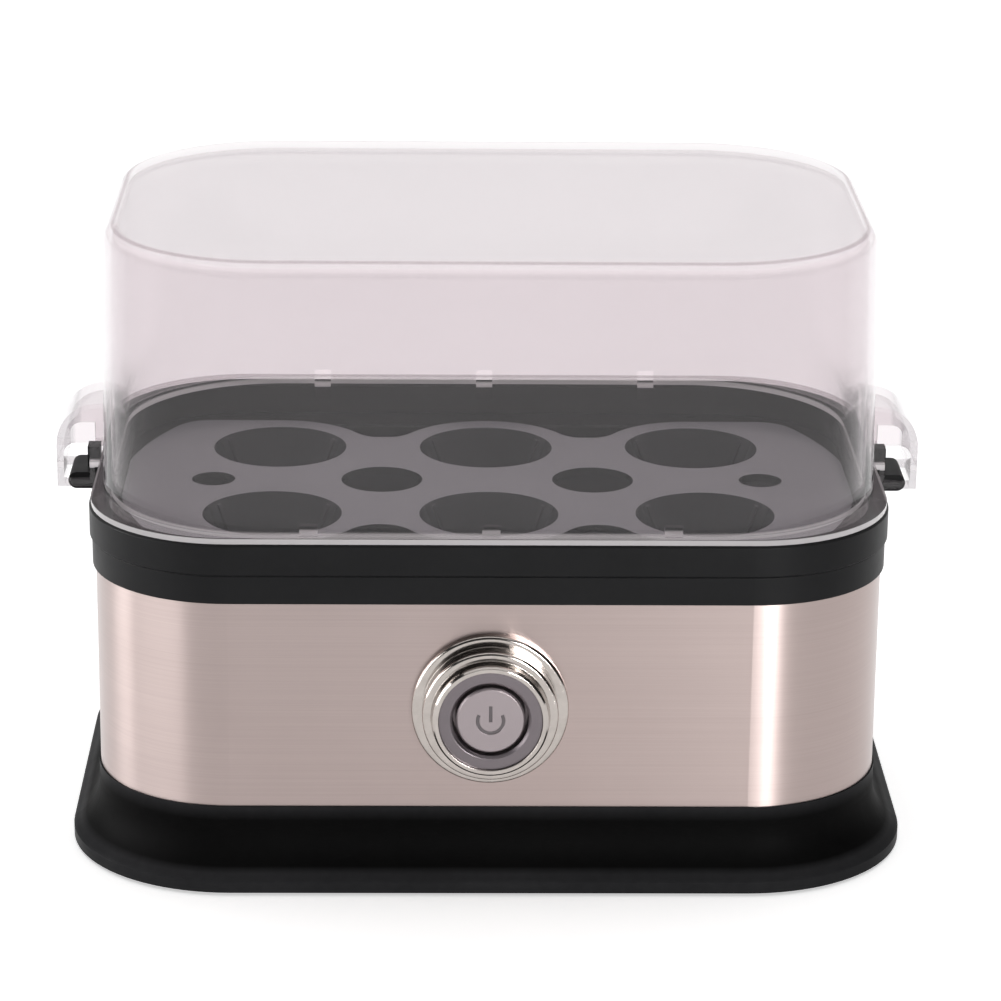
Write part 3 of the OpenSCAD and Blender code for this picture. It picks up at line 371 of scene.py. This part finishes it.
def hazy_clear(name):
    """Thin clear plastic: most light goes straight through with a faint warm-pink tint, a little
    scatters, and more is mirrored at a glancing angle. The upright walls are tinted darker than
    the top as painted shade, and the top's moulded edge shows as a fine painted dark line. The
    flange and the wall's foot are given emission, painted light that stands in for light carried
    inside the wall."""
    g = Graph(name)
    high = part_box("lid")[1]
    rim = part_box("inner_frame")[1].z + UPPER_BAND
    smear = g.noise(16.0, 4.0, 0.6)

    geometry = g.add("ShaderNodeNewGeometry")
    normal = g.add("ShaderNodeSeparateXYZ")
    g.link(geometry.outputs["Normal"], normal.inputs[0])
    level = g.sums(normal.outputs["Z"], normal.outputs["Z"], "MULTIPLY")
    where = g.add("ShaderNodeSeparateXYZ")
    g.link(g.add("ShaderNodeTexCoord").outputs["Object"], where.inputs[0])
    height = where.outputs["Z"]

    # Painted shade and light: the tint darkens on the upright walls and lightens on the level top
    tone = g.add("ShaderNodeValToRGB")
    ramp = tone.color_ramp
    for stop, (position, colour) in zip(ramp.elements, LID_TINTS[:2]):
        stop.position, stop.color = position, (*colour, 1.0)
    for position, colour in LID_TINTS[2:]:
        ramp.elements.new(position).color = (*colour, 1.0)
    g.link(level, tone.inputs["Fac"])

    # Painted shade: a fine dark line where the flat top turns over its edge, on the outer face
    # only
    turning = g.sums(g.spread(level, 0.0, 1.0, 0.70, 0.80), g.spread(level, 1.0, 0.0, 0.90, 0.985),
                     "MULTIPLY")
    outer = g.spread(height, 0.0, 1.0, high.z - 1.6 * MM, high.z - 1.2 * MM)
    line = g.sums(g.sums(turning, outer, "MULTIPLY"), PAINTED_EDGE_SHADE_SHARE, "MULTIPLY")
    tint = g.blend(line, tone.outputs["Color"], PAINTED_EDGE_SHADE)

    # The outer parts of the hoods, below the top, are tinted a little greyer
    reach = g.sums(where.outputs["X"], 0.0, "ABSOLUTE")
    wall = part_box("top_ring")[1].x
    outside = g.spread(reach, 0.0, 1.0, *(wall - step for step in HOOD_START))
    below = g.spread(height, 1.0, 0.0, *(high.z - step for step in HOOD_FALL))
    hood = g.sums(outside, below, "MULTIPLY")
    tint = g.blend(g.sums(hood, HOOD_SHARE, "MULTIPLY"), tint, HOOD_TINT)

    through = g.add("ShaderNodeBsdfTransparent")
    g.link(tint, through.inputs["Color"])
    gloss = g.add("ShaderNodeBsdfGlossy")
    gloss.inputs["Color"].default_value = (1, 1, 1, 1)
    g.link(g.spread(smear, 0.07, 0.12), gloss.inputs["Roughness"])
    g.link(g.bump(g.noise(11.0, 2.0), 0.25 * MM, 0.35), gloss.inputs["Normal"])

    # Painted light: the upright faces of the flange and of the wall's foot are given emission and
    # more haze, standing in for light carried inside the wall
    upright = g.spread(level, 1.0, 0.0, 0.1, 0.4)
    foot = g.sums(g.spread(height, 1.0, 0.0, rim + 1.2 * MM, rim + 1.9 * MM),
                  g.spread(height, 0.0, 1.0, rim - 0.3 * MM, rim - 0.1 * MM), "MULTIPLY")
    edge = g.sums(g.sums(upright, foot, "MULTIPLY"), PAINTED_EDGE_SHARE, "MULTIPLY")
    scatter = g.sums(g.spread(smear, 0.012, 0.02), edge)
    painted_glow = g.blend(edge, (0.0, 0.0, 0.0), PAINTED_EDGE_GLOW)
    milk = g.principled(base_color=rgb(252, 247, 249), roughness=0.5, specular_ior_level=0.0,
                        emission_color=painted_glow, emission_strength=1.0)
    hazy = g.add("ShaderNodeMixShader")
    g.link(scatter, hazy.inputs["Fac"])
    g.link(through.outputs[0], hazy.inputs[1])
    g.link(milk.outputs[0], hazy.inputs[2])

    glance = g.add("ShaderNodeLayerWeight")
    glance.inputs["Blend"].default_value = 0.5
    steep = g.sums(glance.outputs["Facing"], 5.0, "POWER")
    shiny = g.add("ShaderNodeMixShader")
    g.link(g.spread(steep, 0.025, 0.9, 0.0, 1.0), shiny.inputs["Fac"])
    g.link(hazy.outputs[0], shiny.inputs[1])
    g.link(gloss.outputs[0], shiny.inputs[2])
    return g.finish(shiny.outputs[0])


BLACK = (rgb(10, 10, 11), rgb(15, 15, 16))
# Each material slot of the record, with the function that makes its finish and what it is given
LOOKS = {
    "clear_lid": (hazy_clear,),
    # The tray's deck colours, then its wall colours, which are darker as painted shade
    "tray_grey": (tray_moulding, rgb(110, 109, 114), rgb(124, 123, 128), rgb(52, 52, 56),
                  rgb(66, 66, 70)),
    "collar_black": (moulded, *BLACK, (0.38, 0.46), 0.003 * MM, 0.11),
    "base_black": (skirt_moulding,),
    "satin_steel": (brushed_sleeve,),
    "foot_rubber": (moulded, rgb(34, 34, 35), rgb(52, 52, 53), (0.7, 0.85)),
    "zinc_screw": (metal, rgb(170, 172, 176), rgb(205, 205, 205)),
    "bowl_coating": (non_stick,),
    "silicone": (moulded, rgb(190, 190, 186), rgb(205, 204, 200), (0.5, 0.65)),
    "plate_aluminium": (metal, rgb(190, 192, 196), rgb(218, 219, 222)),
    "element_sheath": (metal, rgb(128, 126, 124), rgb(160, 158, 156), (0.45, 0.6)),
    "terminal_steel": (metal, rgb(176, 176, 178), rgb(206, 206, 206)),
    "dark_moulding": (moulded, rgb(44, 44, 46), rgb(62, 62, 64)),
    "fuse_ceramic": (moulded, rgb(222, 220, 212), rgb(236, 234, 228), (0.3, 0.4)),
    "brass_tag": (metal, rgb(196, 166, 92), rgb(222, 194, 120)),
    "chrome_bezel": (chrome,),
    "ring_grey": (turned, rgb(94, 89, 92), rgb(114, 107, 110), (0.32, 0.42)),
    "button_satin": (turned, rgb(136, 128, 130), rgb(146, 137, 139), (0.34, 0.42),
                     rgb(72, 66, 68)),
    "spring_steel": (metal, rgb(170, 170, 172), rgb(200, 200, 200)),
    "plunger_white": (moulded, rgb(222, 222, 218), rgb(236, 236, 232)),
    "block_cream": (moulded, rgb(222, 216, 198), rgb(236, 232, 216)),
    "gland_black": (moulded, *BLACK),
    "lead_brown": (moulded, rgb(108, 66, 42), rgb(124, 78, 50)),
    "lead_black": (moulded, rgb(30, 30, 31), rgb(44, 44, 45)),
    "lead_blue": (moulded, rgb(50, 86, 160), rgb(66, 104, 180)),
    "lead_green": (moulded, rgb(96, 160, 66), rgb(120, 186, 84)),
}
made = {slot: make(slot, *given) for slot, (make, *given) in LOOKS.items()}

for part in frame["record"]["subparts"]:
    piece = nodes[part["node"]]
    piece.data.materials.clear()
    piece.data.materials.append(made[part["material_slot"]])


# ---------- the button's spring ----------

def coil_spring():
    """A round-wire coil between the bracket and the button."""
    low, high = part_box("button_spring")
    wire = 0.4 * MM  # radius of the wire
    turns, steps, sides = 5, 40, 12
    radius = (high.x - low.x) / 2 - wire
    centre = Vector(((low.x + high.x) / 2, 0.0, (low.z + high.z) / 2))
    shape = bmesh.new()
    rings = []
    for i in range(turns * steps + 1):
        turn = 2 * math.pi * i / steps
        outward = Vector((math.cos(turn), 0.0, math.sin(turn)))
        along = low.y + wire + (high.y - low.y - 2 * wire) * i / (turns * steps)
        ring = []
        for j in range(sides):
            angle = 2 * math.pi * j / sides
            point = centre + outward * (radius + wire * math.cos(angle))
            point.y = along + wire * math.sin(angle)
            ring.append(shape.verts.new(point))
        rings.append(ring)
    for first, second in zip(rings, rings[1:]):
        for j in range(sides):
            k = (j + 1) % sides
            shape.faces.new((first[j], first[k], second[k], second[j]))
    shape.faces.new(rings[0])
    shape.faces.new(rings[-1])
    bmesh.ops.recalc_face_normals(shape, faces=shape.faces)
    mesh = bpy.data.meshes.new("button_coil")
    shape.to_mesh(mesh)
    shape.free()
    mesh.shade_smooth()
    mesh.materials.append(made["spring_steel"])
    piece = bpy.data.objects.new("button_coil", mesh)
    bpy.context.scene.collection.objects.link(piece)
    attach(piece, "base")
    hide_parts("button_spring")
    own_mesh(piece)


coil_spring()


# ---------- the studio ----------

# How much the floor shines of itself, which keeps it even and pale
FLOOR_GLOW = 0.58


def floor():
    """A pale floor, flat under the cooker and far beyond it."""
    mesh = bpy.data.meshes.new("studio_floor")
    grid = bmesh.new()
    bmesh.ops.create_grid(grid, x_segments=8, y_segments=8, size=8.0)
    grid.to_mesh(mesh)
    grid.free()
    piece = bpy.data.objects.new("studio_floor", mesh)
    bpy.context.scene.collection.objects.link(piece)
    g = Graph("studio_floor")
    tone = g.blend(g.spread(g.noise(3.0), 0.0, 1.0), (0.92, 0.92, 0.92), (0.94, 0.94, 0.94))
    shader = g.principled(base_color=tone, roughness=0.8, specular_ior_level=0.1,
                          emission_color=(1.0, 1.0, 1.0), emission_strength=FLOOR_GLOW)
    mesh.materials.append(g.finish(shader.outputs[0]))
    return piece


def softbox(name, place, aim, width, height, power):
    """A flat lamp at a place, facing its aim."""
    data = bpy.data.lights.new(name, "AREA")
    data.shape = "RECTANGLE"
    data.size, data.size_y = width, height
    data.energy = power
    lamp = bpy.data.objects.new(name, data)
    bpy.context.scene.collection.objects.link(lamp)
    way = Vector(aim) - Vector(place)
    turn = way.to_track_quat("-Z", "Y").to_matrix().to_4x4()
    lamp.matrix_world = Matrix.Translation(place) @ turn
    return lamp


# Brightness of the room in front of and behind the cooker, and the lean it fades between
ROOM_GLOW = (0.03, 0.68)
ROOM_FADE = (0.2, 0.85)


def surroundings():
    """A room that is bright overhead and behind the cooker, and dim behind the camera."""
    world = bpy.data.worlds.new("room")
    bpy.context.scene.world = world
    world.use_nodes = True
    tree = world.node_tree
    where = tree.nodes.new("ShaderNodeTexCoord")
    lean = tree.nodes.new("ShaderNodeVectorMath")
    lean.operation = "DOT_PRODUCT"
    lean.inputs[1].default_value = (0.0, 0.8, 0.6)
    tree.links.new(where.outputs["Generated"], lean.inputs[0])
    fade = tree.nodes.new("ShaderNodeMapRange")
    fade.interpolation_type = "SMOOTHSTEP"
    for key, value in zip(("From Min", "From Max", "To Min", "To Max"), ROOM_FADE + ROOM_GLOW):
        fade.inputs[key].default_value = value
    tree.links.new(lean.outputs["Value"], fade.inputs["Value"])
    back = tree.nodes["Background"]
    back.inputs["Color"].default_value = (1.0, 1.0, 1.0, 1.0)
    tree.links.new(fade.outputs[0], back.inputs["Strength"])


def keep_off(lamps, pieces):
    """Stops these lamps from lighting these pieces, so that strips meant for the sleeve leave no
    hot patch on the floor or on the flat faces inside the lid."""
    group = bpy.data.collections.new("not_lit_by_strips")
    for piece in pieces:
        group.objects.link(piece)
    for member in group.collection_objects:
        member.light_linking.link_state = "EXCLUDE"
    for lamp in lamps:
        lamp.light_linking.receiver_collection = group


ground = floor()
surroundings()
softbox("top_box", (0.0, 0.1, 2.2), (0.0, -0.2, 0.0), 3.6, 2.6, 30.0)
strips = [softbox("left_box", (-1.25, 0.14, 0.36), (0.0, 0.0, 0.3), 0.42, 0.7, 14.0),
          softbox("left_fill", (-1.05, -0.6, 0.36), (0.0, 0.0, 0.3), 0.9, 0.7, 10.5),
          softbox("right_box", (0.52, -1.35, 0.36), (0.0, 0.0, 0.3), 0.24, 0.7, 21.0)]
keep_off(strips, [ground, nodes["lid"], nodes["egg_tray"]])
